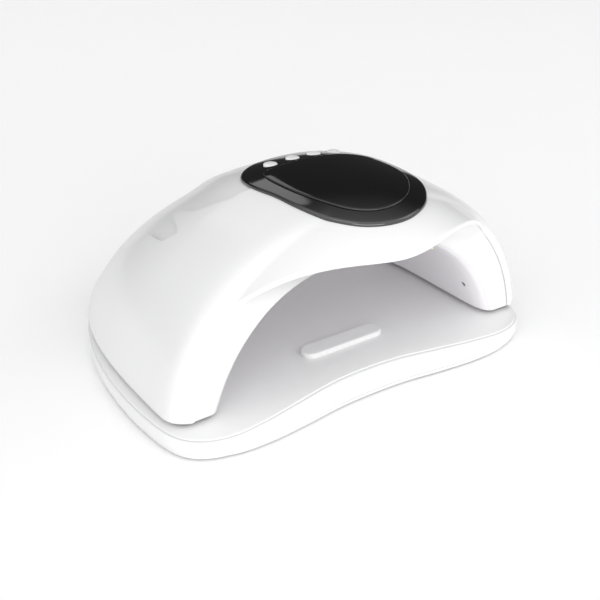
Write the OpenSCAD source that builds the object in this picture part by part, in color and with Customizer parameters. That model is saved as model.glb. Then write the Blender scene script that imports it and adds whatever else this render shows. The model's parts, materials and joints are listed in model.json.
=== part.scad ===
// UV LED nail lamp: an arched hood with a display panel, standing on a flat tray.
// Units are millimetres. +Z is up, the hand opening faces -Y.
// The shapes are drawn about the hood's mirror plane and moved by `centre` at the end,
// so that the origin is at the centre of the bottom of the whole lamp.

/* [Hood] */
// Half of the hood's width at the feet
hood_half = 107; // [100:1:112]
// Height of the hood above its foot line
hood_rise = 86; // [80:1:92]
// Height of the foot line above the table
foot_z = 14; // [13:0.5:16]
// How far the front edge bulges forward over the opening
visor = 30; // [15:1:34]
// Wall thickness of the outer shell
shell_wall = 2.2; // [1.8:0.1:2.8]
// Depth of the step behind the shoulder fins
fin_step = 2.6; // [1:0.1:3]

/* [Hand opening] */
// Half of the opening's width at the foot line
cavity_half = 81; // [76:1:84]
// Height of the opening above the foot line
cavity_rise = 58; // [50:1:60]
// Wall thickness of the inner liner
liner_wall = 1.6; // [1.2:0.1:2]

/* [Tray] */
// Height of the tray without its feet
tray_top_z = 12; // [11:0.5:12.5]
// Height of the raised bar that the fingers rest against
guide_rise = 2.4; // [1.5:0.1:3]
// Length of the raised bar
guide_length = 48; // [40:1:56]
// Width of the raised bar
guide_width = 11; // [8:0.5:13]

/* [Panel] */
// Thickness of the display panel
panel_wall = 1.6; // [1.2:0.1:2]
// Diameter of a push button
button_d = 7.2; // [6:0.2:9]
// Travel of a push button
button_travel = 0.8; // [0.5:0.1:1]

/* [Lamps] */
// Number of light-emitting diodes on each strip
leds_per_strip = 11; // [7:1:12]
// Diameter of a diode's lens
led_d = 5; // [4:0.2:5.4]

/* [Hidden] */

$fn = 48;
eps = 0.01;
gap = 0.1;               // clearance between fixed pieces of one body

// ---- Small helpers ----
function clamp01(t) = max(0, min(1, t));
function smooth(t) = clamp01(t) * clamp01(t) * (3 - 2 * clamp01(t));
function mix(a, b, t) = a + (b - a) * t;

// Catmull-Rom curve through a closed list of points, `k` steps to each span
function cr(a, b, c, d, t) = 0.5 * (2 * b + (c - a) * t + (2 * a - 5 * b + 4 * c - d) * t * t
    + (3 * b - a - 3 * c + d) * t * t * t);
function closed_curve(p, k) = let (n = len(p)) [
    for (i = [0 : n - 1], j = [0 : k - 1])
        cr(p[(i + n - 1) % n], p[i], p[(i + 1) % n], p[(i + 2) % n], j / k)
];
function xs(p) = [for (q = p) q[0]];
function ys(p) = [for (q = p) q[1]];

// ---- Tray outline ----
tray_x = -4;             // the tray's own centre, seen from the hood's mirror plane
tray_half_outline = [
    [0, -25], [20, -26.2], [42, -30.6], [64, -35], [82, -36.2], [96, -31], [104, -20],
    [107.4, 0], [108, 25], [105.5, 52], [99, 80], [88, 106], [70, 131], [45, 146.5], [20, 152.5]
];
tray_rear_y = 153.5;
function mirrored(p) = concat(p, [[0, tray_rear_y]],
    [for (i = [len(p) - 1 : -1 : 1]) [-p[i][0], p[i][1]]]);
tray_outline = closed_curve(mirrored(tray_half_outline), 6);

// The front face slopes out towards its foot, most in the middle
tray_flare = 8;
tray_flare_half = 84;    // half width over which it slopes
tray_foot_outline = [
    for (p = tray_outline)
        p - [0, p[1] < 0 ? tray_flare * max(0, 1 - pow(p[0] / tray_flare_half, 2)) : 0]
];

// ---- Hood surface ----
front_y = -20;           // plane of the two front feet
rear_y = 148;            // rear end of the hood
peak_y = 25;             // station of the highest point
wide_y = 10;             // station behind which the hood narrows
arch_power = 2.22;       // roundness of the arch
arch_lean = 0.13;        // inward lean of the legs
corner_inset = 9;        // rounding of the front corners, in plan
corner_reach = 3.7;

function hood_width(y) = hood_half
    * (y < wide_y ? 1 : pow(max(0, 1 - pow((y - wide_y) / (rear_y - wide_y), 2.6)), 0.3))
    - corner_inset * exp(-max(0, y - front_y) / corner_reach);
function hood_height(y) = y < peak_y
    ? hood_rise - 14 * pow((peak_y - y) / 70, 3)
    : hood_rise * pow(max(0, 1 - pow((y - peak_y) / (rear_y - peak_y), 1.8)), 0.68);

// Point of an arch of half width w and height h at angle a, leaning inwards
function arch(a, w, h, power = arch_power, lean = arch_lean) = let (
    r = pow(pow(abs(cos(a)) / w, power) + pow(abs(sin(a)) / h, power), -1 / power),
    z = r * sin(a)
) [r * cos(a) * (1 - lean * z / h), z];

// Front edge of the hood at arch angle a: straight legs and a bulging visor
function front_edge(a) = front_y - visor * pow(max(0, 1 - pow((a - 90) / 57.5, 2)), 1.06);

// Line behind which the surface steps down, with one bay between two fins on each shoulder
function fin_line(a) = let (
    s = abs(a - 90),
    t = clamp01((s - 24) / 60),
    fin = 10 * smooth((s - 42.2) / 2.2) * smooth((50 - s) / 5),
    bay = 16 * smooth((s - 45.5) / 5) * smooth((55.4 - s) / 1.2),
    ease = 4 * (smooth((s - 27) / 6) - smooth((s - 58) / 10))
) 28 + 77 * (0.5 * t + 0.5 * smooth(t)) + fin - bay - ease;
function fin_depth(a) = let (s = abs(a - 90)) fin_step * smooth((s - 20) / 16);

// Outer surface at arch angle a and station y, moved inwards by `inset`
function hood_point(a, y, inset, drop) = let (
    p = arch(a, max(1, hood_width(y) - inset - drop), max(1, hood_height(y) - inset - drop))
) [p[0], y, foot_z + p[1]];

// Height of the hood's surface above a point of the plan
function hood_ratio(u, lean_z, n) = n == 0 ? lean_z
    : hood_ratio(u, pow(max(0, 1 - pow(u / (1 - arch_lean * lean_z), arch_power)), 1 / arch_power), n - 1);
function hood_z(x, y) = foot_z
    + hood_height(y) * hood_ratio(abs(x) / hood_width(y), 0.9, 6);

// ---- Grids closed into solids ----
// A solid between two grids of the same size, given as lists of rows of points.
// A capped one has a flat wall across its last row.
module skin(outside, inside, capped = false) {
    rows = len(outside);
    cols = len(outside[0]);
    n = rows * cols;
    at = function (k, i, j) k * n + i * cols + j;
    quads = [
        for (i = [0 : rows - 2], j = [0 : cols - 2]) each [
            [at(0, i, j), at(0, i + 1, j + 1), at(0, i + 1, j)],
            [at(0, i, j), at(0, i, j + 1), at(0, i + 1, j + 1)],
            [at(1, i, j), at(1, i + 1, j), at(1, i + 1, j + 1)],
            [at(1, i, j), at(1, i + 1, j + 1), at(1, i, j + 1)]
        ]
    ];
    ends = [
        for (j = [0 : cols - 2]) each [
            [at(0, 0, j), at(1, 0, j + 1), at(0, 0, j + 1)],
            [at(0, 0, j), at(1, 0, j), at(1, 0, j + 1)]
        ]
    ];
    last = rows - 1;
    closing = capped ? [
        [for (j = [0 : cols - 1]) at(0, last, j)],
        [for (j = [cols - 1 : -1 : 0]) at(1, last, j)],
        [at(0, last, 0), at(0, last, cols - 1), at(1, last, cols - 1), at(1, last, 0)]
    ] : [
        for (j = [0 : cols - 2]) each [
            [at(0, last, j), at(0, last, j + 1), at(1, last, j + 1)],
            [at(0, last, j), at(1, last, j + 1), at(1, last, j)]
        ]
    ];
    sides = [
        for (i = [0 : rows - 2]) each [
            [at(0, i, 0), at(1, i + 1, 0), at(1, i, 0)],
            [at(0, i, 0), at(0, i + 1, 0), at(1, i + 1, 0)],
            [at(0, i, cols - 1), at(1, i, cols - 1), at(1, i + 1, cols - 1)],
            [at(0, i, cols - 1), at(1, i + 1, cols - 1), at(0, i + 1, cols - 1)]
        ]
    ];
    polyhedron(concat([for (r = outside) each r], [for (r = inside) each r]),
        concat(quads, ends, closing, sides), convexity = 8);
}

// A closed plate over a plan outline, between the heights top(x, y) and bottom(x, y)
module draped_plate(outline, middle, rings, top, bottom) {
    m = len(outline);
    plan = [for (k = [1 : rings], q = outline) mix(middle, q, k / rings)];
    pts = concat([middle], plan);
    n = len(pts);
    at = function (k, j) 1 + (k - 1) * m + j % m;
    upper = [
        for (j = [0 : m - 1]) each concat([[0, at(1, j + 1), at(1, j)]],
            [for (k = [1 : rings - 1]) each [
                [at(k, j), at(k, j + 1), at(k + 1, j + 1)],
                [at(k, j), at(k + 1, j + 1), at(k + 1, j)]
            ]])
    ];
    lower = [for (t = upper) [t[0] + n, t[2] + n, t[1] + n]];
    wall = [
        for (j = [0 : m - 1]) each [
            [at(rings, j), at(rings, j + 1), at(rings, j + 1) + n],
            [at(rings, j), at(rings, j + 1) + n, at(rings, j) + n]
        ]
    ];
    polyhedron(concat([for (p = pts) [p[0], p[1], top(p[0], p[1])]],
        [for (p = pts) [p[0], p[1], bottom(p[0], p[1])]]), concat(upper, lower, wall), convexity = 6);
}

// An outline moved inwards by d, point by point
function inset_curve(p, d) = let (n = len(p)) [
    for (i = [0 : n - 1]) let (
        t = p[(i + 1) % n] - p[(i + n - 1) % n],
        u = t / norm(t)
    ) p[i] + d * [-u[1], u[0]]
];

// ---- Where things are ----
front_rows = 11;
rear_rows = 9;
arch_steps = 36;
shell_end_y = 143;       // where the rear plate closes the shell
angles = [for (j = [0 : arch_steps]) 180 * j / arch_steps];

centre = [
    -(min([min(xs(tray_outline)) + tray_x, -hood_half]) + max([max(xs(tray_outline)) + tray_x, hood_half])) / 2,
    -(front_y - visor + max(ys(tray_outline))) / 2,
    0
];

function shell_row(i, inset, end_y) = [
    for (a = angles) i <= front_rows
        ? hood_point(a, mix(front_edge(a), fin_line(a), pow(i / front_rows, 1.7)), inset, 0)
        : let (t = (i - front_rows - 1) / rear_rows)
            hood_point(a, mix(fin_line(a) + 1.5, end_y, sin(90 * t)), inset, fin_depth(a) * (1 - t * t))
];
function shell_grid(inset, end_y) = [for (i = [0 : front_rows + 1 + rear_rows]) shell_row(i, inset, end_y)];

// Cavity inside the liner
cavity_front_y = -18;
cavity_rear_y = 122;
cavity_power = 2.6;
cavity_lean = 0.26;
cavity_bend_y = 30;
function cavity_fall(y) = y < cavity_bend_y ? 1
    : pow(max(0, 1 - pow((y - cavity_bend_y) / (cavity_rear_y - cavity_bend_y), 3)), 0.5);
function cavity_point(a, y, out) = let (
    flare = 3.5 * exp(-max(0, y - cavity_front_y) / 4),
    p = arch(a, (cavity_half - 1 + flare) * cavity_fall(y) + out, cavity_rise * cavity_fall(y) + out,
        cavity_power, cavity_lean)
) [p[0], y, foot_z + p[1]];

// Height of the cavity's roof above a point of the plan
function roof_ratio(u, r, n) = n == 0 ? r
    : roof_ratio(u, pow(max(0, 1 - pow(u / (1 - cavity_lean * r), cavity_power)), 1 / cavity_power), n - 1);
function cavity_z(x, y) = foot_z
    + cavity_rise * cavity_fall(y) * roof_ratio(abs(x) / ((cavity_half - 1) * cavity_fall(y)), 0.9, 6);

liner_ys = [-15, -11, -4, 6, 20, 36, 52, 68, 84, 98, 109];
liner_end_y = 116;
function liner_rows(out) = concat(
    [
        [for (a = angles) hood_point(a, front_edge(a) + 0.8 + out, shell_wall + 0.3 + out / 2, 0)],
        [for (a = angles) mix(hood_point(a, front_edge(a) + 0.2 + out, shell_wall + 0.3, 0),
            cavity_point(a, cavity_front_y - 1 + out, 2.5 + out), 0.5)],
        [for (a = angles) cavity_point(a, cavity_front_y - 1 + out, 2.2 + out * 0.6)],
        [for (a = angles) cavity_point(a, cavity_front_y + 0.2 + out * 0.6, 0.4 + out)]
    ],
    [for (y = liner_ys) [for (a = angles) cavity_point(a, y, out)]],
    [[for (a = angles) cavity_point(a, liner_end_y + out, out)]]
);

// Panel, seen from above
panel_middle = [5, 11];
panel_outline = closed_curve([
    [-30, 44], [-33.5, 29], [-31.5, 11], [-29.5, -6], [-24.5, -20], [-14, -31], [0, -35.5],
    [15, -34], [30, -25], [41, -9], [45, 10], [42.5, 28], [35, 44], [20, 54], [2, 57], [-18, 54]
], 4);
window_middle = [6, 3];
window_outline = closed_curve([
    [-24, 32], [-25.5, 14], [-22, -5], [-14, -20.5], [-2, -27.5], [12, -26.5], [25, -18],
    [34.5, -4], [38, 11], [35, 25], [25, 31.5], [8, 33.5], [-10, 34]
], 4);
button_row_y = 42;
button_xs = [-13.7, -0.7, 12, 24.4];
function button_seat(k) = [button_xs[k], button_row_y, hood_z(button_xs[k], button_row_y) + gap + panel_wall];
panel_hole_d = button_d + 0.8;

board_z = 84;            // underside of the control board
board_wall = 1.6;
board_size = [62, 66];
board_middle = [4, 14];
post_spots = [for (sx = [-1, 1], sy = [-1, 1]) board_middle + [sx * 27, sy * 26]];

// Places in the legs and at the rear, mirrored to both sides
magnet_d = 10;
foot_spots = [[92, -4], [89, 70]];
both_foot_spots = [for (p = foot_spots, s = [-1, 1]) [s * p[0], p[1]]];
frame_screw_spots = [for (p = [[92, 14], [90, 48]], s = [-1, 1]) [s * p[0], p[1]]];
frame_wall = 2;
boss_rise = 9;           // height of the shell's screw bosses
boss_reach = 12;         // length of the rib that ties a boss to the shell's wall
screw_head_d = 5.4;
screw_d = 2.6;

strip_ys = [2, 27, 52];
strip_half = 5;          // half of a strip's width
strip_angles = [for (j = [0 : 24]) 22 + 136 * j / 24];
led_angles = [for (j = [0 : leds_per_strip - 1]) 28 + 124 * j / (leds_per_strip - 1)];
led_out = 0.6;           // how far a lens stands into the cavity
strip_gap = 0.5;
strip_wall = 1;

// Turns +Z into the outward direction of the cavity's arch at angle a and station y
module on_cavity(a, y) {
    p = cavity_point(a, y, 0);
    t = cavity_point(a + 0.5, y, 0) - cavity_point(a - 0.5, y, 0);
    translate(p) rotate([0, atan2(t[2], -t[0]), 0]) children();
}
sensor_y = -7;
sensor_angle = 10;

// ---- Hood: casings ----
module outer_shell() {
    color("white") translate(centre) {
        difference() {
            skin(shell_grid(0, shell_end_y), shell_grid(shell_wall, shell_end_y));
            translate([0, 0, 60]) linear_extrude(60) polygon(inset_curve(panel_outline, 4));
        }
        for (p = frame_screw_spots) shell_boss(p);
    }
}

// Screw boss with a rib to the leg's wall
module shell_boss(p) {
    side = sign(p[0]);
    difference() {
        union() {
            cylinder_at(p, foot_z + frame_wall + gap, boss_rise, boss_d);
            translate([min(p[0], p[0] + side * boss_reach), p[1] - 1, foot_z + frame_wall + gap])
                cube([boss_reach, 2, boss_rise]);
        }
        cylinder_at(p, foot_z, boss_rise - 1, screw_d);
    }
}
module cylinder_at(p, z, h, d) { translate([p[0], p[1], z]) cylinder(h = h, d = d); }

module inner_liner() {
    color("ghostwhite") translate(centre) difference() {
        skin(liner_rows(liner_wall), liner_rows(0), capped = true);
        for (y = strip_ys, a = led_angles)
            on_cavity(a, y) translate([0, 0, -3]) cylinder(h = 8, d = led_d + 0.6, $fn = 24);
        for (a = [sensor_angle, 180 - sensor_angle])
            on_cavity(a, sensor_y) translate([0, 0, -3]) cylinder(h = 8, d = 3.4, $fn = 24);
    }
}

// The U-shaped plate that closes the legs and the rear from below
frame_play = 0.6;        // clearance between the frame and the shell around it
frame_outer_path = [
    for (row = shell_grid(shell_wall + frame_play, shell_end_y))
        if (row[0][1] > front_y + 6 && row[0][1] < shell_end_y - 2.5) [row[0][0], row[0][1]]
];
liner_foot_play = 0.3;   // clearance between the frame and the liner inside it
liner_back_y = liner_end_y + liner_wall;
function liner_foot_x(y) = cavity_point(0, y, liner_wall + liner_foot_play)[0];
frame_inner_path = concat([for (y = liner_ys) [liner_foot_x(y), y]],
    [for (y = [liner_back_y, liner_back_y + liner_foot_play]) [liner_foot_x(liner_back_y), y]]);
function both_sides(p) = concat(p, [for (i = [len(p) - 1 : -1 : 0]) [-p[i][0], p[i][1]]]);

module bottom_frame() {
    color("whitesmoke") translate(centre) difference() {
        translate([0, 0, foot_z]) linear_extrude(frame_wall) difference() {
            polygon(both_sides(frame_outer_path));
            polygon(concat([[-frame_inner_path[0][0], -30], [frame_inner_path[0][0], -30]],
                both_sides(frame_inner_path)));
        }
        for (p = frame_screw_spots) {
            cylinder_at(p, foot_z - 1, frame_wall + 2, 3);
            cylinder_at(p, foot_z - 1, 2.2, 6);
        }
    }
}

module frame_screws() {
    color("silver") translate(centre) for (p = frame_screw_spots) {
        cylinder_at(p, foot_z + 0.1, 1.1, screw_head_d);
        cylinder_at(p, foot_z + 0.1, boss_rise - 2, screw_d);
    }
}

module hood_magnets() {
    color("silver") translate(centre)
        for (p = both_foot_spots) cylinder_at(p, foot_z + frame_wall + gap, 2, magnet_d);
}

module hood_pads() {
    color("gainsboro") translate(centre)
        for (p = both_foot_spots) cylinder_at(p, tray_top_z, foot_z - tray_top_z, 9);
}

// ---- Hood: panel and buttons ----
function panel_bottom(x, y) = hood_z(x, y) + gap;
function panel_top(x, y) = panel_bottom(x, y) + panel_wall;
module display_panel() {
    color("black") translate(centre) difference() {
        draped_plate(panel_outline, panel_middle, 5, function (x, y) panel_top(x, y),
            function (x, y) panel_bottom(x, y));
        for (k = [0 : 3]) translate([button_xs[k], button_row_y, 80]) cylinder(h = 40, d = panel_hole_d);
    }
}

window_wall = 0.6;
window_gap = 0.2;        // thickness of the adhesive under the window
module display_window() {
    color("dimgray") translate(centre)
        draped_plate(window_outline, window_middle, 4, function (x, y) panel_top(x, y) + window_gap + window_wall,
            function (x, y) panel_top(x, y) + window_gap);
}

// Cap above the panel, a flange that keeps it in, and a stem down to its switch
button_rise = 0.6;       // how far a cap stands above the panel
switch_top_z = board_z + board_wall + 4.3;
module button(k) {
    seat = button_seat(k);
    color("white") translate(centre) translate([seat[0], seat[1], 0]) {
        translate([0, 0, seat[2] - 5.6]) cylinder(h = 5.6 + button_rise, d = button_d);
        translate([0, 0, seat[2] - 5.6]) cylinder(h = 1, d = button_d + 1.8);
        translate([0, 0, switch_top_z + button_travel + 0.1])
            cylinder(h = seat[2] - 5 - switch_top_z - button_travel, d = 3);
    }
}
module button_1() { button(0); }
module button_2() { button(1); }
module button_3() { button(2); }
module button_4() { button(3); }

module tact_switches() {
    color("darkslategray") translate(centre)
        for (x = button_xs) translate([x, button_row_y, board_z + board_wall]) {
            translate([-3, -3, 0]) cube([6, 6, 3.4]);
            cylinder(h = 4.3, d = 3);
        }
}

module control_board() {
    color("seagreen") translate(centre) difference() {
        translate([board_middle[0] - board_size[0] / 2, board_middle[1] - board_size[1] / 2, board_z])
            cube([board_size[0], board_size[1], board_wall]);
        for (p = post_spots) translate([p[0], p[1], board_z - 1]) cylinder(h = 4, d = 3.2);
    }
}

module digit_display() {
    color("dimgray") translate(centre) translate([-12, -6, board_z + board_wall]) cube([32, 20, 7]);
}

module board_screws() {
    color("silver") translate(centre)
        for (p = post_spots) translate([p[0], p[1], 0]) {
            translate([0, 0, board_z + board_wall]) cylinder(h = 1.6, d = 5);
            translate([0, 0, board_z - 4]) cylinder(h = 4 + board_wall + 0.5, d = 2.6);
        }
}

// Posts that stand on the liner's back and carry the control board
module board_posts() {
    color("white") translate(centre)
        for (p = post_spots) difference() {
            base = cavity_z(abs(p[0]) - 3, p[1]) + liner_wall + 0.6;
            translate([p[0], p[1], base]) cylinder(h = board_z - base, d = 6);
            translate([p[0], p[1], board_z - 4.5]) cylinder(h = 6, d = 2.6);
        }
}

// ---- Hood: lamps ----
module led_strip(y) {
    stations = [y - strip_half, y, y + strip_half];
    low = liner_wall + strip_gap;
    color("gainsboro") translate(centre) skin(
        [for (s = stations) [for (a = strip_angles) cavity_point(a, s, low + strip_wall)]],
        [for (s = stations) [for (a = strip_angles) cavity_point(a, s, low)]]);
}
module led_strip_front() { led_strip(strip_ys[0]); }
module led_strip_middle() { led_strip(strip_ys[1]); }
module led_strip_rear() { led_strip(strip_ys[2]); }

module leds(y) {
    color("lightyellow") translate(centre)
        for (a = led_angles) on_cavity(a, y) {
            translate([0, 0, -led_out]) cylinder(h = led_out + liner_wall, d = led_d);
            translate([0, 0, -led_out - 0.8]) cylinder(h = 0.8, d1 = led_d - 2, d2 = led_d);
        }
}
module leds_front() { leds(strip_ys[0]); }
module leds_middle() { leds(strip_ys[1]); }
module leds_rear() { leds(strip_ys[2]); }

// ---- Hood: hand sensor and power ----
module sensor(a) {
    color("dimgray") translate(centre) on_cavity(a, sensor_y) {
        translate([0, 0, 0.2]) cylinder(h = 5, d = 3);
        translate([0, 0, liner_wall + 1]) cylinder(h = 3, d = 4.4);
    }
}
module sensor_emitter() { sensor(180 - sensor_angle); }
module sensor_receiver() { sensor(sensor_angle); }

jack_z = foot_z + 8.2;
plug_hole_d = 6.4;
jack_size = [9, 12, 9];
module rear_plate() {
    wall = 2;
    w = hood_width(shell_end_y) - shell_wall - gap;
    h = hood_height(shell_end_y) - shell_wall - gap;
    outline = [for (a = [0 : 5 : 180]) arch(a, w, h)];
    color("white") translate(centre) translate([0, shell_end_y, foot_z]) rotate([90, 0, 0])
        difference() {
            linear_extrude(wall) polygon(outline);
            translate([0, jack_z - foot_z, -1]) cylinder(h = wall + 2, d = plug_hole_d);
        }
}

module dc_jack() {
    y = shell_end_y - 2 - gap;
    color("dimgray") translate(centre) translate([0, y, jack_z]) difference() {
        translate([-jack_size[0] / 2, -jack_size[1], -jack_size[2] / 2]) cube(jack_size);
        rotate([90, 0, 0]) translate([0, 0, -1]) difference() {
            cylinder(h = 10, d = 5.7);
            cylinder(h = 12, d = 2);
        }
    }
}

// Two leads from the jack over the liner to the control board, each in a plane x = constant
lead_d = 1.6;
lead_start_y = shell_end_y - 2 - gap - jack_size[1] - 0.2;
lead_route = [
    [lead_start_y, jack_z + 2], [lead_start_y - 3, jack_z + 3], [122, 44], [112, 56], [90, 72], [68, 79],
    [54, 81], [46, 82], [40, board_z - 1.1]
];
module power_leads() {
    color("firebrick") translate(centre) for (s = [-1, 1]) lead(s * 1.4);
}
module lead(x) {
    sides = 8;
    n = len(lead_route);
    rings = [
        for (i = [0 : n - 1]) let (
            v = lead_route[min(i + 1, n - 1)] - lead_route[max(i - 1, 0)],
            u = v / norm(v)
        ) for (k = [0 : sides - 1]) let (c = cos(360 * k / sides), q = sin(360 * k / sides)) [
            x + lead_d / 2 * c,
            lead_route[i][0] - lead_d / 2 * q * u[1],
            lead_route[i][1] + lead_d / 2 * q * u[0]
        ]
    ];
    walls = [
        for (i = [0 : n - 2], k = [0 : sides - 1]) let (a = i * sides + k, b = i * sides + (k + 1) % sides)
            [a, b, b + sides, a + sides]
    ];
    polyhedron(rings, concat(walls, [[for (k = [sides - 1 : -1 : 0]) k]],
        [[for (k = [0 : sides - 1]) (n - 1) * sides + k]]));
}

// ---- Tray ----
tray_bottom_z = 1.2;
tray_floor = 2;
tray_skin = 2.2;
tray_split_z = tray_bottom_z + tray_floor + 0.2;
tray_screw_spots = [for (p = [[86, -14], [88, 84], [40, 134]], s = [-1, 1]) [s * p[0] + tray_x, p[1]]];
tray_feet_spots = [for (p = [[70, -20], [70, 112]], s = [-1, 1]) [s * p[0] + tray_x, p[1]]];
boss_d = 7;
guide_at = [1.5, 2.5];    // middle of the raised bar, seen from the hood

tray_edge_z = tray_top_z - 0.8;

// The tray's body between two heights, wider at the foot
module tray_body(d, z_low, z_high) {
    low = inset_curve(tray_foot_outline, d);
    high = inset_curve(tray_outline, d);
    n = len(low);
    translate([tray_x, 0, 0]) polyhedron(
        concat([for (p = low) [p[0], p[1], z_low]], [for (p = high) [p[0], p[1], z_high]]),
        concat([[for (i = [0 : n - 1]) i], [for (i = [n - 1 : -1 : 0]) n + i]],
            [for (i = [0 : n - 1]) let (j = (i + 1) % n) each [[i, n + i, n + j], [i, n + j, j]]]),
        convexity = 4);
}

module tray_top() {
    color("white") translate(centre) difference() {
        union() {
            difference() {
                union() {
                    tray_body(0, tray_split_z, tray_edge_z);
                    translate([tray_x, 0, tray_edge_z - 0.1]) linear_extrude(tray_top_z - tray_edge_z + 0.1)
                        polygon(inset_curve(tray_outline, 0.8));
                }
                tray_body(tray_skin, tray_split_z - 1, tray_top_z - tray_skin);
            }
            translate([guide_at[0], guide_at[1], tray_top_z - eps]) linear_extrude(guide_rise + eps) guide_plan(0);
            for (p = tray_screw_spots) translate([p[0], p[1], tray_split_z])
                cylinder(h = tray_top_z - tray_split_z - 1, d = boss_d);
        }
        for (p = tray_screw_spots) translate([p[0], p[1], tray_split_z - 1]) cylinder(h = 7, d = 2.6);
    }
}
// Bar with round ends
module guide_plan(d) {
    r = guide_width / 2 - d;
    for (s = [-1, 1]) translate([s * (guide_length / 2 - guide_width / 2), 0]) circle(r);
    translate([-(guide_length - guide_width) / 2, -r]) square([guide_length - guide_width, 2 * r]);
}

module tray_bottom() {
    color("whitesmoke") translate(centre) difference() {
        translate([tray_x, 0, tray_bottom_z]) linear_extrude(tray_floor)
            polygon(inset_curve(tray_foot_outline, 1.2));
        for (p = tray_screw_spots) translate([p[0], p[1], 0]) {
            cylinder(h = 6, d = 3.2);
            cylinder(h = tray_bottom_z + 1.2, d = 6);
        }
    }
}

module tray_magnets() {
    color("silver") translate(centre)
        for (p = both_foot_spots) cylinder_at(p, tray_top_z - tray_skin - 2 - gap, 2, magnet_d);
}

module tray_screws() {
    color("silver") translate(centre)
        for (p = tray_screw_spots) {
            cylinder_at(p, tray_bottom_z + 0.1, 1.1, screw_head_d);
            cylinder_at(p, tray_bottom_z + 0.1, 7, screw_d);
        }
}

module tray_feet() {
    color("gray") translate(centre)
        for (p = tray_feet_spots) cylinder_at(p, 0, tray_bottom_z, 14);
}

outer_shell();
inner_liner();
bottom_frame();
frame_screws();
hood_magnets();
hood_pads();
rear_plate();
display_panel();
display_window();
button_1();
button_2();
button_3();
button_4();
tact_switches();
control_board();
digit_display();
board_screws();
board_posts();
led_strip_front();
led_strip_middle();
led_strip_rear();
leds_front();
leds_middle();
leds_rear();
sensor_emitter();
sensor_receiver();
dc_jack();
power_leads();
tray_top();
tray_bottom();
tray_magnets();
tray_screws();
tray_feet();
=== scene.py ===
"""Looks of the uv led nail lamp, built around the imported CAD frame.

Shapes are worked out in the hood's own frame, in millimetres (x = 0 is the hood's mirror plane,
the front is -Y, z is measured from the table), and moved to the row frame in metres by make().
"""

import json
import math

import bmesh
import bpy
import numpy as np
from mathutils import Matrix, Vector


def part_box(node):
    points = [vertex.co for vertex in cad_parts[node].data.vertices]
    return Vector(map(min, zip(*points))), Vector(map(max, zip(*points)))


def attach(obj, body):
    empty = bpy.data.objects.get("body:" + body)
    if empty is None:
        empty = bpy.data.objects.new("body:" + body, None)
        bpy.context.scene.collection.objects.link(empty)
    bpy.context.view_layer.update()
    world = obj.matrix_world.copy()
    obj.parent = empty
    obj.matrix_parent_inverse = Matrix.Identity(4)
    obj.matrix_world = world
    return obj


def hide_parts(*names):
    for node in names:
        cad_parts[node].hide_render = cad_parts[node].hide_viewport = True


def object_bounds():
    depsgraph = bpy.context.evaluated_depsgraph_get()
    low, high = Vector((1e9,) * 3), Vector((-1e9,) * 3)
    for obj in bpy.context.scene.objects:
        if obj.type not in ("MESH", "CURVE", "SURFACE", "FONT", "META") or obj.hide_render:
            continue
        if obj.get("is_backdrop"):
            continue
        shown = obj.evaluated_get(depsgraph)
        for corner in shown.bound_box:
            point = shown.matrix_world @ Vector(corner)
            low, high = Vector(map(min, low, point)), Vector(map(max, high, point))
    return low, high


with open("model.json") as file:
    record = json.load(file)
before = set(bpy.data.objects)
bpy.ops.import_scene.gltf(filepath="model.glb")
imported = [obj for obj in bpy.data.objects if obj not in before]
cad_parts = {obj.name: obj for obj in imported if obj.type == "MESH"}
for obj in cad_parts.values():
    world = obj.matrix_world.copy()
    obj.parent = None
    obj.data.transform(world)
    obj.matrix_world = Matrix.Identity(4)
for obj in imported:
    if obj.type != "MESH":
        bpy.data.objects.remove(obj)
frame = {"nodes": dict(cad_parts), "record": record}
cad_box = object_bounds()
nodes = frame["nodes"]
record = frame["record"]

MM = 0.001
FRONT_REACH = 50.0  # how far the shell's foremost point lies in front of the hood frame's origin
shell_low, shell_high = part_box("outer_shell")
# Moves the hood frame to the row frame
SHIFT = np.array([(shell_low.x + shell_high.x) / 2 / MM, shell_low.y / MM + FRONT_REACH, 0.0])
FOOT = shell_low.z / MM  # the hood's foot line
TRAY_TOP = FOOT - 2.0
HALF = (shell_high.x - shell_low.x) / 2 / MM
GAP = 0.1  # clearance between fixed pieces of one body


# ---------------------------------------------------------------- formulas shared with the part
def clamp01(t):
    return np.clip(t, 0.0, 1.0)


def smooth(t):
    t = clamp01(t)
    return t * t * (3 - 2 * t)


def mix(a, b, t):
    return a + (b - a) * t


def cosd(a):
    return np.cos(np.radians(a))


def sind(a):
    return np.sin(np.radians(a))


FRONT_Y = -20.0  # plane of the two front feet
REAR_Y = 148.0  # where the hood's curves would meet
SHELL_END = 143.0  # where the rear plate closes the shell
SHELL_WALL = 2.2
HOOD_RISE = 86.0  # height of the hood above its foot line
PEAK_Y = 25.0  # station of the highest point
WIDE_Y = 10.0  # station behind which the hood narrows
ARCH_POWER = 2.22  # roundness of the arch
ARCH_LEAN = 0.13  # inward lean of the legs
CORNER_INSET, CORNER_REACH = 9.0, 3.7  # rounding of the front corners, in plan


def hood_width(y):
    narrow = clamp01(1 - (np.maximum(y - WIDE_Y, 0) / (REAR_Y - WIDE_Y)) ** 2.6) ** 0.3
    return HALF * narrow - CORNER_INSET * np.exp(-np.maximum(0, y - FRONT_Y) / CORNER_REACH)


def hood_height(y):
    fore = HOOD_RISE - 14 * ((PEAK_Y - np.minimum(y, PEAK_Y)) / 70) ** 3
    aft = HOOD_RISE * clamp01(1 - (np.maximum(y - PEAK_Y, 0) / (REAR_Y - PEAK_Y)) ** 1.8) ** 0.68
    return np.where(y < PEAK_Y, fore, aft)


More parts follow.
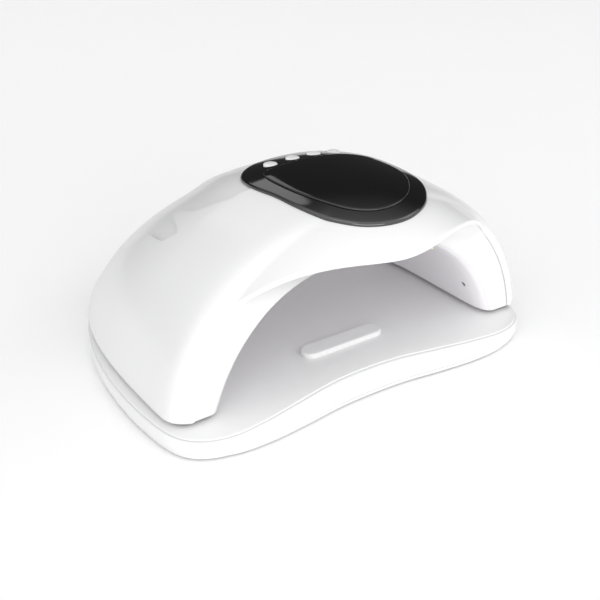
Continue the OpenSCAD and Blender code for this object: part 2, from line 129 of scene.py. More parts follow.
def arch(a, w, h, power=ARCH_POWER, lean=ARCH_LEAN):
    """Point of an arch of half width w and height h at angle a, leaning inwards."""
    r = ((np.abs(cosd(a)) / w) ** power + (np.abs(sind(a)) / h) ** power) ** (-1 / power)
    z = r * sind(a)
    return r * cosd(a) * (1 - lean * z / h), z


def front_edge(a):
    """Front edge of the hood at arch angle a: straight legs and a bulging visor."""
    return FRONT_Y - (FRONT_REACH + FRONT_Y) * clamp01(1 - ((a - 90) / 57.5) ** 2) ** 1.06


def fin_line(a):
    """Line behind which the surface steps down, with one bay between two fins on each shoulder."""
    s = np.abs(a - 90)
    t = clamp01((s - 24) / 60)
    fin = 10 * smooth((s - 42.2) / 2.2) * smooth((50 - s) / 5)
    bay = 16 * smooth((s - 45.5) / 5) * smooth((55.4 - s) / 1.2)
    ease = 4 * (smooth((s - 27) / 6) - smooth((s - 58) / 10))
    return 28 + 77 * (0.5 * t + 0.5 * smooth(t)) + fin - bay - ease


def fin_depth(a):
    return 2.6 * smooth((np.abs(a - 90) - 20) / 16)


def hood_point(a, y, inset):
    x, z = arch(a, np.maximum(1, hood_width(y) - inset), np.maximum(1, hood_height(y) - inset))
    return np.stack([x, np.broadcast_to(y, x.shape), FOOT + z], -1)


def hood_z(x, y):
    """Height of the hood's surface above a point of the plan."""
    u = np.abs(x) / hood_width(y)
    k = np.full_like(u, 0.9)
    for _ in range(6):
        k = clamp01(1 - (u / (1 - ARCH_LEAN * k)) ** ARCH_POWER) ** (1 / ARCH_POWER)
    return FOOT + hood_height(y) * k


CAVITY_HALF, CAVITY_RISE = 80.0, 58.0
CAVITY_FRONT_Y, CAVITY_BEND_Y, CAVITY_REAR_Y = -18.0, 30.0, 122.0
CAVITY_POWER, CAVITY_LEAN = 2.6, 0.26


def cavity_fall(y):
    """The cavity's size at station y, as a share of its size at the front."""
    run = np.maximum(y - CAVITY_BEND_Y, 0) / (CAVITY_REAR_Y - CAVITY_BEND_Y)
    return clamp01(1 - run**3) ** 0.5


def cavity_point(a, y, out):
    flare = 3.5 * np.exp(-np.maximum(0, y - CAVITY_FRONT_Y) / 4)
    fall = cavity_fall(y)
    x, z = arch(a, (CAVITY_HALF + flare) * fall + out, CAVITY_RISE * fall + out, CAVITY_POWER, CAVITY_LEAN)
    return np.stack([x, np.broadcast_to(y, x.shape), FOOT + z], -1)


def rounding(distance, radius):
    """How far a rounded edge falls away at a distance from it."""
    d = np.clip(distance, 0, radius)
    return radius - np.sqrt(radius**2 - (radius - d) ** 2)


def closed_curve(points, steps):
    """Catmull-Rom curve through a closed list of points."""
    p = np.array(points, float)
    a, b, c, d = np.roll(p, 1, 0), p, np.roll(p, -1, 0), np.roll(p, -2, 0)
    out = []
    for i in range(len(p)):
        for t in np.arange(steps) / steps:
            square = 2 * a[i] - 5 * b[i] + 4 * c[i] - d[i]
            cube = 3 * b[i] - a[i] - 3 * c[i] + d[i]
            out.append(0.5 * (2 * b[i] + (c[i] - a[i]) * t + square * t**2 + cube * t**3))
    return np.array(out)


def inset_curve(p, d):
    """An outline moved inwards by d, point by point."""
    t = np.roll(p, -1, 0) - np.roll(p, 1, 0)
    t /= np.linalg.norm(t, axis=1)[:, None]
    return p + d * np.stack([-t[:, 1], t[:, 0]], -1)


# ---------------------------------------------------------------- mesh helpers
def make(name, verts, faces, body, slot, replaced=(), crease=32):
    """A closed mesh from points in the hood frame, riding on a body with a slot's material."""
    mesh = bpy.data.meshes.new(name)
    mesh.from_pydata(((np.asarray(verts, float) + SHIFT) * MM).tolist(), [], faces)
    obj = bpy.data.objects.new(name, mesh)
    bpy.context.scene.collection.objects.link(obj)
    obj["crease"] = crease
    finish_mesh(obj)
    if body:
        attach(obj, body)
        obj.data.materials.append(MATERIALS[slot])
        if replaced:
            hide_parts(*replaced)
    return obj


def finish_mesh(obj):
    """Joins double points, turns the faces outwards and shades them smooth up to the crease angle."""
    bm = bmesh.new()
    bm.from_mesh(obj.data)
    bmesh.ops.remove_doubles(bm, verts=bm.verts, dist=1e-6)
    bmesh.ops.recalc_face_normals(bm, faces=bm.faces)
    bm.to_mesh(obj.data)
    bm.free()
    shade(obj)


def shade(obj):
    obj.data.shade_smooth()
    obj.data.set_sharp_from_angle(angle=math.radians(obj["crease"]))


def cut(obj, cutter):
    """Takes the cutter's solids out of obj, and removes the cutter."""
    m = obj.modifiers.new("cut", "BOOLEAN")
    m.operation = "DIFFERENCE"
    m.solver = "MANIFOLD"
    m.object = cutter
    graph = bpy.context.evaluated_depsgraph_get()
    mesh = bpy.data.meshes.new_from_object(obj.evaluated_get(graph))
    obj.modifiers.clear()
    old, obj.data = obj.data, mesh
    bpy.data.meshes.remove(old)
    bpy.data.objects.remove(cutter)
    shade(obj)


def sheet_between(outer, inner, capped=False):
    """Vertices and faces of the solid between two grids of points of the same size."""
    rows, cols = outer.shape[:2]
    at = lambda k, i, j: k * rows * cols + i * cols + j
    faces = []
    for i in range(rows - 1):
        for j in range(cols - 1):
            faces.append((at(0, i, j), at(0, i + 1, j), at(0, i + 1, j + 1), at(0, i, j + 1)))
            faces.append((at(1, i, j), at(1, i, j + 1), at(1, i + 1, j + 1), at(1, i + 1, j)))
        for j in (0, cols - 1):
            faces.append((at(0, i, j), at(1, i, j), at(1, i + 1, j), at(0, i + 1, j)))
    last = rows - 1
    for j in range(cols - 1):
        faces.append((at(0, 0, j), at(0, 0, j + 1), at(1, 0, j + 1), at(1, 0, j)))
        if not capped:
            faces.append((at(0, last, j), at(1, last, j), at(1, last, j + 1), at(0, last, j + 1)))
    if capped:
        faces.append(tuple(at(0, last, j) for j in range(cols)))
        faces.append(tuple(at(1, last, j) for j in reversed(range(cols))))
        faces.append((at(0, last, 0), at(1, last, 0), at(1, last, cols - 1), at(0, last, cols - 1)))
    return np.concatenate([outer.reshape(-1, 3), inner.reshape(-1, 3)]), faces


def ring_stack(rings, first, last):
    """Vertices and faces of closed rings joined one to the next, with a point at each end."""
    m = len(rings[0])
    verts = [first] + [p for r in rings for p in r] + [last]
    at = lambda k, j: 1 + k * m + j % m
    faces = [(0, at(0, j), at(0, j + 1)) for j in range(m)]
    for k in range(len(rings) - 1):
        faces += [(at(k, j), at(k + 1, j), at(k + 1, j + 1), at(k, j + 1)) for j in range(m)]
    k = len(rings) - 1
    faces += [(at(k, j + 1), at(k, j), len(verts) - 1) for j in range(m)]
    return np.array(verts, float), faces


def spun(profile, sides=48):
    """A solid of revolution about +Z from (radius, z) points that start and end on the axis."""
    turn = 2 * np.pi * np.arange(sides) / sides
    rings = [np.stack([r * np.cos(turn), r * np.sin(turn), np.full(sides, z)], -1) for r, z in profile[1:-1]]
    return ring_stack(rings, [0, 0, profile[0][1]], [0, 0, profile[-1][1]])


def ring_of(profile, sides=64):
    """A ring about +Z from a closed list of (radius, z) points."""
    turn = 2 * np.pi * np.arange(sides) / sides
    m = len(profile)
    verts = np.array([[r * math.cos(t), r * math.sin(t), z] for t in turn for r, z in profile])
    at = lambda i, j: (i % sides) * m + j % m
    faces = [(at(i, j), at(i + 1, j), at(i + 1, j + 1), at(i, j + 1)) for i in range(sides) for j in range(m)]
    return verts, faces


def placed(shape, places):
    """Copies of one shape at several 4 x 4 places, as one list of vertices and faces."""
    verts, faces = shape
    flat = np.c_[verts, np.ones(len(verts))]
    out, polys = [], []
    for k, place in enumerate(places):
        out.append((flat @ np.array(place).T)[:, :3])
        polys += [tuple(i + k * len(verts) for i in f) for f in faces]
    return np.concatenate(out), polys


def at_point(x, y, z, turn=None):
    """4 x 4 place at a point, turned by a 3 x 3 matrix."""
    place = np.eye(4)
    if turn is not None:
        place[:3, :3] = turn
    place[:3, 3] = (x, y, z)
    return place


def on_cavity(a, y):
    """Place whose +Z points out of the cavity at arch angle a and station y."""
    def at(angle):
        return cavity_point(np.array(angle), np.array(float(y)), 0)

    p = at(a)
    t = at(a + 0.5) - at(a - 0.5)
    t /= np.linalg.norm(t)
    out = np.array([t[2], 0, -t[0]])
    return at_point(*p, np.stack([np.cross([0, 1, 0], out), [0, 1, 0], out], -1))


# ---------------------------------------------------------------- materials
def material(name, color, rough, variation=0.04, grain=1800.0, bump=0.02, cloud=0.015, **shader):
    """Moulded or machined surface: fine grain in the bump, slow variation in colour and gloss."""
    m = bpy.data.materials.new(name)
    m.use_nodes = True
    t = m.node_tree
    bsdf = t.nodes["Principled BSDF"]
    where = t.nodes.new("ShaderNodeTexCoord")

    def noise(scale, detail):
        n = t.nodes.new("ShaderNodeTexNoise")
        n.inputs["Scale"].default_value = scale
        n.inputs["Detail"].default_value = detail
        t.links.new(where.outputs["Object"], n.inputs["Vector"])
        return n.outputs["Fac"]

    def spread(value, low, high):
        n = t.nodes.new("ShaderNodeMapRange")
        n.inputs["From Min"].default_value = 0.3
        n.inputs["From Max"].default_value = 0.7
        n.inputs["To Min"].default_value = low
        n.inputs["To Max"].default_value = high
        t.links.new(value, n.inputs["Value"])
        return n.outputs["Result"]

    tint = t.nodes.new("ShaderNodeMix")
    tint.data_type = "RGBA"
    tint.inputs["A"].default_value = (*[max(0.0, c * (1 - cloud)) for c in color], 1)
    tint.inputs["B"].default_value = (*[min(1.0, c * (1 + cloud)) for c in color], 1)
    t.links.new(spread(noise(22.0, 3.0), 0, 1), tint.inputs["Factor"])
    t.links.new(tint.outputs["Result"], bsdf.inputs["Base Color"])
    t.links.new(spread(noise(60.0, 4.0), rough - variation, rough + variation), bsdf.inputs["Roughness"])
    relief = t.nodes.new("ShaderNodeBump")
    relief.inputs["Strength"].default_value = bump
    relief.inputs["Distance"].default_value = 0.0002
    t.links.new(noise(grain, 2.0), relief.inputs["Height"])
    t.links.new(relief.outputs["Normal"], bsdf.inputs["Normal"])
    for key, value in shader.items():
        bsdf.inputs[key.replace("_", " ")].default_value = value
    return m


MATERIALS = {
    "shell_white": material("shell_white", (0.77, 0.77, 0.772), 0.32, 0.015, bump=0.015, cloud=0.004,
                            Coat_Weight=0.25, Coat_Roughness=0.12),
    "tray_white": material("tray_white", (0.79, 0.79, 0.792), 0.34, 0.02, bump=0.03, cloud=0.004,
                           Coat_Weight=0.15, Coat_Roughness=0.2),
    # liner_white: painted light and shade on a white moulding. The lavender tint is painted shade of the
    # hollow, and the extra lightness over the shell's white is painted light that brightens the hollow
    "liner_white": material("liner_white", (0.90, 0.88, 0.91), 0.42, bump=0.05),
    "panel_black": material("panel_black", (0.004, 0.004, 0.0045), 0.10, 0.02, bump=0.004, IOR=1.9),
    "window_smoke": material("window_smoke", (0.006, 0.006, 0.0065), 0.06, 0.015, bump=0.003, IOR=1.6),
    "button_white": material("button_white", (0.86, 0.86, 0.86), 0.26, bump=0.02, Coat_Weight=0.4),
    "switch_black": material("switch_black", (0.02, 0.02, 0.02), 0.5, grain=900.0, bump=0.15),
    "board_green": material("board_green", (0.015, 0.14, 0.05), 0.35, 0.08, 400.0, 0.25, 0.35),
    "display_black": material("display_black", (0.03, 0.03, 0.035), 0.3, bump=0.03),
    "screw_steel": material("screw_steel", (0.52, 0.52, 0.53), 0.32, 0.1, 2600.0, 0.12, 0.08, Metallic=1.0),
    "magnet_nickel": material("magnet_nickel", (0.62, 0.61, 0.58), 0.2, 0.06, 1500.0, 0.05, 0.05,
                              Metallic=1.0),
    "pad_rubber": material("pad_rubber", (0.55, 0.55, 0.55), 0.75, 0.08, 900.0, 0.3, 0.06),
    "strip_aluminium": material("strip_aluminium", (0.75, 0.75, 0.76), 0.35, 0.08, 1200.0, 0.1, 0.05,
                                Metallic=1.0),
    "led_lens": material("led_lens", (0.86, 0.84, 0.66), 0.10, 0.03, bump=0.01, Coat_Weight=0.8, IOR=1.52),
    "sensor_dark": material("sensor_dark", (0.012, 0.008, 0.02), 0.14, bump=0.01, Coat_Weight=0.6),
    "lead_red": material("lead_red", (0.35, 0.02, 0.02), 0.4, bump=0.06),
    "foot_rubber": material("foot_rubber", (0.16, 0.16, 0.165), 0.8, 0.08, 800.0, 0.35, 0.1),
}
for part in record["subparts"]:
    cad = nodes[part["node"]]
    cad.data.materials.clear()
    cad.data.materials.append(MATERIALS[part["material_slot"]])


# ---------------------------------------------------------------- the hood's outer shell
# Arch angles of the columns, closer together across the fins
half_angles = np.concatenate(
    [[0, 0.15, 0.4], np.arange(1, 33, 1.0), np.arange(33, 50, 0.4), np.arange(50, 90, 1.0)])
ARCH_ANGLES = np.concatenate([half_angles, [90], 180 - half_angles[::-1]])
EDGE_RADIUS = 0.7


def shell_stations(a):
    """Stations along the shell at arch angle a: a rounded front edge, the body, the step and the rear."""
    edge, fin = front_edge(a), fin_line(a)
    near = [0, 0.08, 0.22, 0.42, EDGE_RADIUS]
    step = [-2.4, -1.5, -0.9, -0.5, -0.15, 0.2, 0.6, 1.0, 1.5, 2.1, 2.9]
    body = np.linspace(0, 1, 44)[1:-1] ** 1.25
    rear = np.sin(np.linspace(0, 1, 42)[1:] * np.pi / 2)
    start, stop = edge + EDGE_RADIUS, fin + step[0]
    return np.array(
        [edge + d for d in near] + [mix(start, stop, t) for t in body] + [fin + d for d in step]
        + [mix(fin + step[-1], SHELL_END, t) for t in rear]
    )


def step_drop(a, y):
    """How far the surface has dropped behind the fin line."""
    fin = fin_line(a)
    along = clamp01((y - fin - 1.5) / (SHELL_END - fin - 1.5))
    fade = 1 - (np.arcsin(along) / (np.pi / 2)) ** 2
    return fin_depth(a) * smooth((y - fin + 0.6) / 2.2) * fade


def shell_grid(inset, rounded):
    """Grid of points of the shell's outside or inside, with its rim rounded or left sharp."""
    columns = []
    for a in ARCH_ANGLES:
        y = shell_stations(a)
        drop = inset + step_drop(a, y)
        if rounded:
            up = hood_point(np.full_like(y, a), y, drop)[:, 2] - FOOT
            drop = drop + np.maximum(rounding(y - y[0], EDGE_RADIUS), rounding(up, EDGE_RADIUS))
        columns.append(hood_point(np.full_like(y, a), y, drop))
    return np.stack(columns, 1)


PANEL_MIDDLE = np.array([5.0, 11.0])
PANEL_OUTLINE = closed_curve(
    [[-30, 44], [-33.5, 29], [-31.5, 11], [-29.5, -6], [-24.5, -20], [-14, -31], [0, -35.5],
     [15, -34], [30, -25], [41, -9], [45, 10], [42.5, 28], [35, 44], [20, 54], [2, 57], [-18, 54]], 12)
WINDOW_MIDDLE = np.array([6.0, 3.0])
WINDOW_OUTLINE = closed_curve(
    [[-24, 32], [-25.5, 14], [-22, -5], [-14, -20.5], [-2, -27.5], [12, -26.5], [25, -18],
     [34.5, -4], [38, 11], [35, 25], [25, 31.5], [8, 33.5], [-10, 34]], 14)
BUTTON_XS = [-13.7, -0.7, 12.0, 24.4]
BUTTON_Y = 42.0
PANEL_SEAT = 4  # width of the shell's ledge under the panel's rim
ABOVE_HOOD = (60, 120)  # heights between which the panel's cutters reach through the top of the hood


def prism(outline, low, high):
    """Vertices and faces of an outline raised from one height to another."""
    flat = lambda z: np.c_[outline, np.full(len(outline), z)]
    middle = outline.mean(0)
    return ring_stack([flat(low), flat(high)], [*middle, low], [*middle, high])


def hole_cutter(places, radius, low, high, sides=48):
    """Round cutters from low to high along the +Z of each place."""
    shape = spun([(0, low), (radius, low), (radius, high), (0, high)], sides)
    return make("cutter", *placed(shape, places), None, None)


shell = make("hood_shell", *sheet_between(shell_grid(0, True), shell_grid(SHELL_WALL, False)),
             "hood", "shell_white", ["outer_shell"], 40)
cut(shell, make("cutter", *prism(inset_curve(PANEL_OUTLINE, PANEL_SEAT), *ABOVE_HOOD), None, None))


# ---------------------------------------------------------------- the liner, from its lip to its rear wall
LINER_WALL = 1.6
LINER_END = 116.0
LINER_ANGLES = np.concatenate([[0, 0.5], np.arange(1.5, 179, 1.5), [179.5, 180]])
STRIP_YS = [2.0, 27.0, 52.0]
LED_ANGLES = [28 + 12.4 * k for k in range(11)]
SENSOR_ANGLE = 10.0
SENSOR_Y = -7.0


LIP_Y = -19.2  # foremost station of the rounded corner between lip and cavity
THROAT_Y = -15.2  # where that corner runs into the cavity


def liner_grid(out):
    """Rows from the lip behind the shell's rim, over a rounded corner, to the rear of the cavity."""
    a = LINER_ANGLES
    full = lambda y: np.full_like(a, y)
    rim = hood_point(a, front_edge(a) + 0.5 + out, full(SHELL_WALL + GAP))
    corner = cavity_point(a, full(LIP_Y + out), out)
    flat_end = mix(corner, rim, 3.2 / np.maximum(np.linalg.norm(rim - corner, axis=1), 6.4)[:, None])
    inside = cavity_point(a, full(THROAT_Y + out), out)
    rows = [mix(rim, flat_end, t) for t in np.linspace(0, 1, 9)[:-1]]
    for t in np.linspace(0, 1, 9):
        rows.append((1 - t) ** 2 * flat_end + 2 * t * (1 - t) * corner + t**2 * inside)
    last = LINER_END + out
    for t in np.linspace(0, 1, 50)[1:]:
        y = mix(THROAT_Y + out, last, t**0.9)
        rows.append(cavity_point(a, full(y if t < 1 else last), out if t < 1 else out - (0.9 if out else 0)))
    return np.stack(rows)


liner = make("hood_liner", *sheet_between(liner_grid(LINER_WALL), liner_grid(0), True),
             "hood", "liner_white", ["inner_liner"], 42)
# The lip is as white as the shell; the lip and the cavity are one moulding, and the lavender of liner_white
# on the cavity faces is painted shade of the hollow
liner.data.materials.append(MATERIALS["shell_white"])
for face in liner.data.polygons:
    if face.center.y < (FRONT_Y + 1.6 + SHIFT[1]) * MM:
        face.material_index = 1
led_places = [on_cavity(a, y) for y in STRIP_YS for a in LED_ANGLES]
sensor_places = [on_cavity(a, SENSOR_Y) for a in (SENSOR_ANGLE, 180 - SENSOR_ANGLE)]
LED_HOLE_R, SENSOR_HOLE_R = 2.8, 1.7
THROUGH_LINER = (-3, 5)
cut(liner, hole_cutter(led_places, LED_HOLE_R, *THROUGH_LINER, 32))
cut(liner, hole_cutter(sensor_places, SENSOR_HOLE_R, *THROUGH_LINER, 32))

lens = spun([(0, -1.4), (0.8, -1.33), (1.5, -1.05), (2.05, -0.6), (2.36, -0.1), (2.5, 0.5),
             (2.5, LINER_WALL), (0, LINER_WALL)], 32)
for where, y in zip(("front", "middle", "rear"), STRIP_YS):
    places = [on_cavity(a, y) for a in LED_ANGLES]
    make("lenses_" + where, *placed(lens, places), "hood", "led_lens", ["leds_" + where])
eye = spun([(0, 0.15), (0.7, 0.22), (1.25, 0.5), (1.5, 1.0), (1.5, 2.6), (2.2, 2.6),
            (2.2, 5.4), (0, 5.4)], 32)
make("sensor_eye_right", *placed(eye, [sensor_places[0]]), "hood", "sensor_dark", ["sensor_receiver"])
make("sensor_eye_left", *placed(eye, [sensor_places[1]]), "hood", "sensor_dark", ["sensor_emitter"])


# ---------------------------------------------------------------- panel, window and buttons
def draped(outline, middle, height, thick, radius):
    """A plate over a plan outline that follows height(x, y), with a rounded upper edge."""
    def ring(plan, lift):
        return np.c_[plan, height(plan[:, 0], plan[:, 1]) + lift]

    core = inset_curve(outline, 2.4)
    rings = [ring(mix(middle, core, k / 8), thick) for k in range(1, 9)]
    # Rings at these distances from the rim, closer together round the edge
    for d in (1.7, 1.25, 1.0, 0.8, 0.6, 0.42, 0.26, 0.13, 0.04, 0.0):
        if d <= radius or d > 1:
            rings.append(ring(inset_curve(outline, d), thick - rounding(np.array(d), radius)))
    rings.append(ring(outline, 0.0))
    rings += [ring(mix(middle, core, k / 4), 0.0) for k in (4, 3, 2, 1)]
    top = height(middle[:1], middle[1:])[0]
    return ring_stack(rings, [*middle, top + thick], [*middle, top])


PANEL_WALL = 1.6
WINDOW_WALL = 0.6
WINDOW_LIFT = GAP + PANEL_WALL + 0.2  # from the hood's surface to the window's underside
BUTTON_HOLE_R = 4.0


def above_hood(lift):
    return lambda x, y: hood_z(x, y) + lift


panel = make("display_panel_gloss",
             *draped(PANEL_OUTLINE, PANEL_MIDDLE, above_hood(GAP), PANEL_WALL, 1.0),
             "hood", "panel_black", ["display_panel"], 38)
button_places = [at_point(x, BUTTON_Y, 0) for x in BUTTON_XS]
cut(panel, hole_cutter(button_places, BUTTON_HOLE_R, *ABOVE_HOOD, 64))
make("display_window_smoked",
     *draped(WINDOW_OUTLINE, WINDOW_MIDDLE, above_hood(WINDOW_LIFT), WINDOW_WALL, 0.42),
     "hood", "window_smoke", ["display_window"], 38)


def button_profile(base, top):
    """Stem, flange and rounded cap of a push button, between its lowest and highest points."""
    stem, rim, cap = 1.5, 4.5, 3.6
    flange = top - 6.2
    return [
        (0, base), (stem - 0.2, base), (stem, base + 0.2), (stem, flange),
        (rim - 0.2, flange), (rim, flange + 0.2), (rim, flange + 0.8), (rim - 0.2, flange + 1),
        (cap, flange + 1), (cap, top - 0.7), (3.54, top - 0.48), (3.35, top - 0.3), (2.95, top - 0.17),
        (2.1, top - 0.06), (1.1, top), (0, top)]


for k, place in enumerate(button_places):
    name = "button_%d" % (k + 1)
    low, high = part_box(name)
    shape = spun(button_profile(low.z / MM, high.z / MM), 64)
    make("push_" + name, *placed(shape, [place]), name, "button_white", [name])


# ---------------------------------------------------------------- tray
TRAY_X = -4.0  # the tray's own centre, seen from the hood's mirror plane
TRAY_FLARE, TRAY_FLARE_HALF = 8.0, 84.0  # how far the front face slopes out, and over what half width
TRAY_EDGE_Z = TRAY_TOP - 0.8  # underside of the step round the top
TRAY_SPLIT_Z = 3.4  # underside of the cover
TRAY_SKIN = 2.2
FLOOR_TOP_Z, FLOOR_LOW_Z = 3.2, 1.2  # the base plate
half_outline = [
    [0, -25], [20, -26.2], [42, -30.6], [64, -35], [82, -36.2], [96, -31], [104, -20],
    [107.4, 0], [108, 25], [105.5, 52], [99, 80], [88, 106], [70, 131], [45, 146.5], [20, 152.5]]
TRAY_OUTLINE = closed_curve(
    half_outline + [[0, 153.5]] + [[-x, y] for x, y in reversed(half_outline[1:])], 14) + [TRAY_X, 0]
TRAY_MIDDLE = np.array([TRAY_X, 55.0])


def tray_line(z):
    """The tray's outline at a height. The front face slopes out towards its foot."""
    x, y = (TRAY_OUTLINE - [TRAY_X, 0]).T
    share = clamp01((TRAY_EDGE_Z - z) / (TRAY_EDGE_Z - TRAY_SPLIT_Z))
    out = TRAY_FLARE * share * clamp01(1 - (x / TRAY_FLARE_HALF) ** 2) * (y < 0)
    return TRAY_OUTLINE - np.c_[np.zeros_like(x), out]


def tray_rings(profile):
    """Rings of the tray's outline at (inset, height) points."""
    return [np.c_[inset_curve(tray_line(z), d), np.full(len(TRAY_OUTLINE), z)] for d, z in profile]


def disc_rings(inset, z, outwards):
    """Rings across a flat face of the tray, from its middle outwards or back."""
    plan = inset_curve(tray_line(z), inset)
    order = (1, 2, 3, 4, 5) if outwards else (5, 4, 3, 2, 1)
    return [np.c_[mix(TRAY_MIDDLE, plan, k / 6), np.full(len(plan), z)] for k in order]


# The step round the top, with a fine groove under it
TOP_EDGE = [(1.7, TRAY_TOP), (1.25, TRAY_TOP - 0.06), (0.98, TRAY_TOP - 0.22), (0.86, TRAY_TOP - 0.42),
            (0.88, TRAY_TOP - 0.58), (1.6, TRAY_TOP - 0.62), (1.6, TRAY_TOP - 0.98), (0.5, TRAY_TOP - 1.02),
            (0.22, TRAY_TOP - 1.12), (0.06, TRAY_TOP - 1.35), (0.0, TRAY_TOP - 1.75)]
# The side and its rounded lower edge
SIDE = [(0.0, TRAY_TOP - 3.2), (0.0, TRAY_TOP - 6.0), (0.0, 4.9), (0.12, 4.4), (0.4, 3.95), (0.8, 3.62),
        (1.3, 3.44), (1.7, TRAY_SPLIT_Z), (2.3, TRAY_SPLIT_Z)]
ceiling_z = TRAY_TOP - TRAY_SKIN
cover_rings = (
    disc_rings(1.7, TRAY_TOP, True)
    + tray_rings(TOP_EDGE + SIDE + [(TRAY_SKIN, 5.0), (TRAY_SKIN, ceiling_z)])
    + disc_rings(TRAY_SKIN, ceiling_z, False))
make("tray_cover", *ring_stack(cover_rings, [*TRAY_MIDDLE, TRAY_TOP], [*TRAY_MIDDLE, ceiling_z]),
     "tray", "tray_white", ["tray_top"], 30)

GUIDE = np.array([1.5, 2.5])
GUIDE_LENGTH, GUIDE_WIDTH, GUIDE_RISE = 48.0, 11.0, 2.4
GUIDE_SINK = 0.3  # how far the bar reaches into the cover
end = GUIDE_WIDTH / 2
turn = np.linspace(-90, 90, 25)
cap = np.c_[(GUIDE_LENGTH / 2 - end) + end * cosd(turn), end * sind(turn)]
stadium = np.concatenate([cap, -cap]) + GUIDE


def guide_foot(x, y):
    return np.full_like(x, TRAY_TOP - GUIDE_SINK)


make("finger_bar", *draped(stadium, GUIDE, guide_foot, GUIDE_RISE + GUIDE_SINK, 1.0),
     "tray", "tray_white", (), 30)

base_rings = (
    disc_rings(2.2, FLOOR_TOP_Z, True)
    + tray_rings([(2.2, FLOOR_TOP_Z), (1.3, FLOOR_TOP_Z), (1.2, 3.1), (1.2, 1.9), (1.35, 1.5), (1.65, 1.26),
                  (2.1, FLOOR_LOW_Z), (3.4, FLOOR_LOW_Z)])
    + disc_rings(3.4, FLOOR_LOW_Z, False))
tray_screws = [(s * x + TRAY_X, y) for x, y in ((86, -14), (88, 84), (40, 134)) for s in (-1, 1)]
base = make("tray_base", *ring_stack(base_rings, [*TRAY_MIDDLE, FLOOR_TOP_Z], [*TRAY_MIDDLE, FLOOR_LOW_Z]),
            "tray", "tray_white", ["tray_bottom"], 30)
spots = [at_point(x, y, 0) for x, y in tray_screws]
for radius, depth in ((3.0, FLOOR_LOW_Z + 1.2), (1.6, 5)):  # the head's counterbore and the thread's hole
    cut(base, hole_cutter(spots, radius, 0, depth))


# ---------------------------------------------------------------- fasteners, feet and the plug hole
def screw(length):
    """Pan-head screw seen from below, with a cross recess; its head is at z 0 to 1.1."""
    crest, root, pitch = 1.3, 1.05, 0.6
    head = [(0, 0), (1.5, 0), (2.3, 0.12), (2.62, 0.4), (2.7, 0.8), (2.7, 1.1), (crest, 1.1)]
    thread, z = [], 1.3
    while z < length - 1.2:
        thread += [(crest, z), (root, z + pitch / 2)]
        z += pitch
    tip = [(1.0, length - 1.0), (0.25, length), (0, length)]
    obj = make("cutter_screw", *spun(head + thread + tip, 32), None, None)
    arm = np.array([[-1.25, -0.28], [1.25, -0.28], [1.25, 0.28], [-1.25, 0.28]])
    for plan in (arm, arm[:, ::-1] * [-1, 1]):
        cut(obj, make("cutter", *prism(plan, -0.5, 0.7), None, None))
    verts = np.array([v.co for v in obj.data.vertices]) / MM - SHIFT
    faces = [tuple(p.vertices) for p in obj.data.polygons]
    bpy.data.objects.remove(obj)
    return verts, faces


frame_screws = [(s * x, y) for x, y in ((92, 14), (90, 48)) for s in (-1, 1)]
SCREW_LENGTH = 7.0
make("screws_under_tray",
     *placed(screw(SCREW_LENGTH), [at_point(x, y, FLOOR_LOW_Z + GAP) for x, y in tray_screws]),
     "tray", "screw_steel", ["tray_screws"])
make("screws_under_hood",
     *placed(screw(SCREW_LENGTH), [at_point(x, y, FOOT + GAP) for x, y in frame_screws]),
     "hood", "screw_steel", ["frame_screws"])

foot = spun([(0, 0.25), (4.4, 0.25), (4.7, 0.2), (5.0, 0.0), (6.3, 0.0), (6.7, 0.12), (6.95, 0.45),
             (7.0, FLOOR_LOW_Z), (0, FLOOR_LOW_Z)])
tray_feet = [(s * 70 + TRAY_X, y) for y in (-20, 112) for s in (-1, 1)]
make("rubber_feet", *placed(foot, [at_point(x, y, 0) for x, y in tray_feet]),
     "tray", "foot_rubber", ["tray_feet"])

JACK_Z = FOOT + 8.2
JACK_R = 3.2
PLATE_WALL = 2.0
PLATE_MIDDLE_Z = FOOT + 12
plate_inside = SHELL_END - PLATE_WALL
wide = hood_width(np.array(SHELL_END)) - SHELL_WALL - GAP
tall = hood_height(np.array(SHELL_END)) - SHELL_WALL - GAP
plate_x, plate_z = arch(np.arange(0, 180.1, 2.0), wide, tall)
plate_plan = np.c_[plate_x, plate_z + FOOT]


def upright(plan, y):
    return np.c_[plan[:, 0], np.full(len(plan), y), plan[:, 1]]


plate_profile = [(2, SHELL_END), (0.6, SHELL_END), (0.25, SHELL_END - 0.08), (0.0, SHELL_END - 0.4),
                 (0.0, plate_inside), (2, plate_inside)]
plate_rings = [upright(inset_curve(plate_plan, d), y) for d, y in plate_profile]
plate = make("rear_cover",
             *ring_stack(plate_rings, [0, SHELL_END, PLATE_MIDDLE_Z], [0, plate_inside, PLATE_MIDDLE_Z]),
             "hood", "shell_white", ["rear_plate"], 30)
backward = np.array([[1, 0, 0], [0, 0, 1], [0, -1, 0]], float)  # turns +Z to +Y
jack_place = at_point(0, SHELL_END, JACK_Z, backward)
cut(plate, hole_cutter([jack_place], JACK_R, -4, 4, 64))
rim = ring_of([(JACK_R, -1.0), (JACK_R, 0.25), (3.4, 0.45), (4.6, 0.45), (4.9, 0.2),
               (5.0, -0.2), (5.0, -1.0)])
make("plug_hole_rim", *placed(rim, [jack_place]), "hood", "shell_white")


# ---------------------------------------------------------------- floor, light and camera
def emitter(name, at, aim, size, power):
    """A soft rectangular light; places and sizes are in metres, power in watts."""
    light = bpy.data.lights.new(name, "AREA")
    light.shape = "RECTANGLE"
    light.size, light.size_y = size
    light.energy = power
    obj = bpy.data.objects.new(name, light)
    bpy.context.scene.collection.objects.link(obj)
    obj.location = at
    obj.rotation_euler = (Vector(aim) - Vector(at)).to_track_quat("-Z", "Y").to_euler()
    return obj


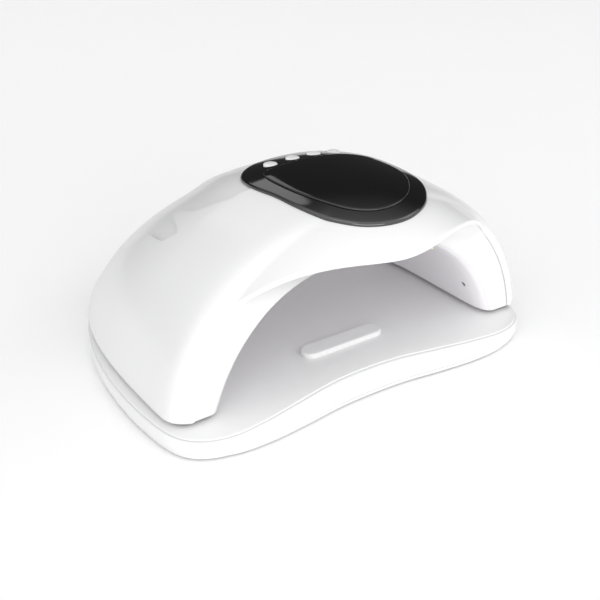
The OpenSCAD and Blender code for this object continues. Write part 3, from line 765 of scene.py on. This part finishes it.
floor_mesh = bpy.data.meshes.new("floor")
floor_mesh.from_pydata([(-4, -4, 0), (4, -4, 0), (4, 4, 0), (-4, 4, 0)], [], [(0, 1, 2, 3)])
floor = bpy.data.objects.new("floor", floor_mesh)
bpy.context.scene.collection.objects.link(floor)
floor_mesh.materials.append(material("floor_pale", (0.98, 0.98, 0.98), 0.7, bump=0.0, cloud=0.003))
floor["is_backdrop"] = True

# The studio is brightest low at the front left and fades to a dim rear
world = bpy.data.worlds.new("studio")
bpy.context.scene.world = world
world.use_nodes = True
sky = world.node_tree
direction = sky.nodes.new("ShaderNodeTexCoord")
toward = sky.nodes.new("ShaderNodeVectorMath")
toward.operation = "DOT_PRODUCT"
toward.inputs[1].default_value = (-0.42, -0.77, 0.48)
level = sky.nodes.new("ShaderNodeMapRange")
level.interpolation_type = "SMOOTHSTEP"
for key, value in (("From Min", -0.42), ("From Max", 0.60), ("To Min", 0.05), ("To Max", 1.22)):
    level.inputs[key].default_value = value
sky.links.new(direction.outputs["Generated"], toward.inputs[0])
sky.links.new(toward.outputs["Value"], level.inputs["Value"])
sky.links.new(level.outputs["Result"], sky.nodes["Background"].inputs["Strength"])
sky.nodes["Background"].inputs["Color"].default_value = (1.0, 1.0, 1.0, 1)
emitter("key", (-0.9, -1.0, 1.4), (0, 0, 0.04), (1.2, 1.2), 3.2)
emitter("front", (-0.25, -1.6, 0.30), (0, 0, 0.05), (1.6, 0.5), 7.5)
emitter("fill", (1.5, -0.6, 0.9), (0, 0, 0.05), (1.0, 1.0), 3.0)
emitter("rear", (0.15, 1.3, 1.15), (0, 0, 0.08), (0.9, 0.6), 1.6)

AZIMUTH, ELEVATION, ROLL = -33.617, 27.898, -0.719
DISTANCE, LENS = 480.0, 59.784
aim = np.array([-24.49, 1.061, 45.0]) + SHIFT
back = np.array([sind(AZIMUTH) * cosd(ELEVATION), -cosd(AZIMUTH) * cosd(ELEVATION), sind(ELEVATION)])
lens_data = bpy.data.cameras.new("camera")
lens_data.sensor_width = 36.0
lens_data.lens = LENS
lens_data.clip_start = 0.01
camera = bpy.data.objects.new("camera", lens_data)
bpy.context.scene.collection.objects.link(camera)
facing = Vector(-back).to_track_quat("-Z", "Y").to_matrix()
camera.matrix_world = Matrix.Translation(Vector((aim + back * DISTANCE) * MM)) @ (
    facing @ Matrix.Rotation(math.radians(ROLL), 3, "Z")).to_4x4()
bpy.context.scene.camera = camera
bpy.context.scene.view_settings.view_transform = "Standard"

corners = lambda b: [[float(v) for v in p] for p in b]
{"cad": corners(cad_box), "visual": corners(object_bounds())}
